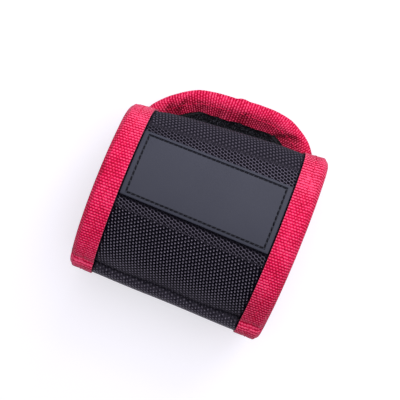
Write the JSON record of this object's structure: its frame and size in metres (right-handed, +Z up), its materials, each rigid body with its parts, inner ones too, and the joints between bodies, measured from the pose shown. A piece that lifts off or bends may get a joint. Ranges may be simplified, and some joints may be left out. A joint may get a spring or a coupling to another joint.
{
  "type": "magnetic wristband",
  "caption": "Padded nylon wristband with disc magnets sewn inside, taped edges, a bare rubber badge and a round tongue that closes on hook and loop tape.",
  "frame": {"origin": "under the middle of the band, on the plane it lies on", "axes": "+X along the wrist from the hand to the forearm, +Y to the side where the tongue stands out, +Z up from the back strap to the magnet panel"},
  "size_m": [0.0906, 0.1, 0.0558],
  "materials": {
    "nylon": "coated ballistic nylon, coarse basket weave",
    "lining": "knitted spacer mesh",
    "foam": "soft foam sheet",
    "binding": "ribbed binding tape",
    "hook": "hook tape, close rows of small hooks",
    "loop": "brushed loop tape",
    "rubber": "moulded soft rubber, matt",
    "magnet": "nickel-plated disc"
  },
  "bodies": {
    "panel": {"panel_shell": "nylon", "panel_foam": "foam", "panel_lining": "lining", "panel_hand_binding": "binding", "panel_forearm_binding": "binding", "panel_magnet_1": "magnet", "panel_magnet_2": "magnet", "panel_magnet_3": "magnet", "panel_magnet_4": "magnet", "panel_magnet_5": "magnet", "panel_magnet_6": "magnet", "panel_magnet_7": "magnet", "panel_magnet_8": "magnet", "panel_magnet_9": "magnet", "badge": "rubber"},
    "near_wall": {"near_wall_shell": "nylon", "near_wall_foam": "foam", "near_wall_lining": "lining", "near_wall_hand_binding": "binding", "near_wall_forearm_binding": "binding", "near_wall_magnet_1": "magnet", "near_wall_magnet_2": "magnet", "near_wall_magnet_3": "magnet"},
    "back_strap": {"back_strap_shell": "nylon", "back_strap_lining": "lining", "back_strap_hand_binding": "binding", "back_strap_forearm_binding": "binding", "back_hook_tape": "hook"},
    "tongue": {"tongue_shell": "nylon", "tongue_lining": "lining", "tongue_hook_tape": "hook", "tongue_binding": "binding"},
    "far_wall": {"far_wall_shell": "nylon", "far_wall_foam": "foam", "far_wall_lining": "lining", "far_wall_hand_binding": "binding", "far_wall_forearm_binding": "binding", "far_wall_magnet_1": "magnet", "far_wall_magnet_2": "magnet", "far_wall_magnet_3": "magnet"},
    "loop_end": {"loop_end_shell": "nylon", "loop_end_lining": "lining", "loop_end_hand_binding": "binding", "loop_end_forearm_binding": "binding", "loop_tape": "loop", "loop_end_hem": "binding"}
  },
  "joints": [
    {"name": "near_upper_fold", "type": "hinge", "parent": "panel", "child": "near_wall", "pos_m": [-0.00015, -0.04777, 0.0393], "axis": [-1, 0.0081, -0.0009], "range_deg": [0, 90]},
    {"name": "near_lower_fold", "type": "hinge", "parent": "near_wall", "child": "back_strap", "pos_m": [-0.00014, -0.04553, 0.00395], "axis": [-1, 0.0055, 0.0008], "range_deg": [0, 90]},
    {"name": "tongue_peel", "type": "hinge", "parent": "back_strap", "child": "tongue", "pos_m": [-0.00013, 0.00952, -0.00015], "axis": [-0.9984, -0.0567, 0], "range_deg": [0, 110]},
    {"name": "far_upper_fold", "type": "hinge", "parent": "panel", "child": "far_wall", "pos_m": [-0.00027, 0.02979, 0.0393], "axis": [0.997, 0.0779, 0.0009], "range_deg": [0, 90]},
    {"name": "far_lower_fold", "type": "hinge", "parent": "far_wall", "child": "loop_end", "pos_m": [-0.00024, 0.02756, 0.0083], "axis": [0.9972, 0.0753, -0.0008], "range_deg": [0, 90]}
  ],
  "couplings": [
    {"joint": "near_lower_fold", "follows": "near_upper_fold", "ratio": 1},
    {"joint": "far_upper_fold", "follows": "near_upper_fold", "ratio": 1},
    {"joint": "far_lower_fold", "follows": "near_upper_fold", "ratio": 1}
  ]
}
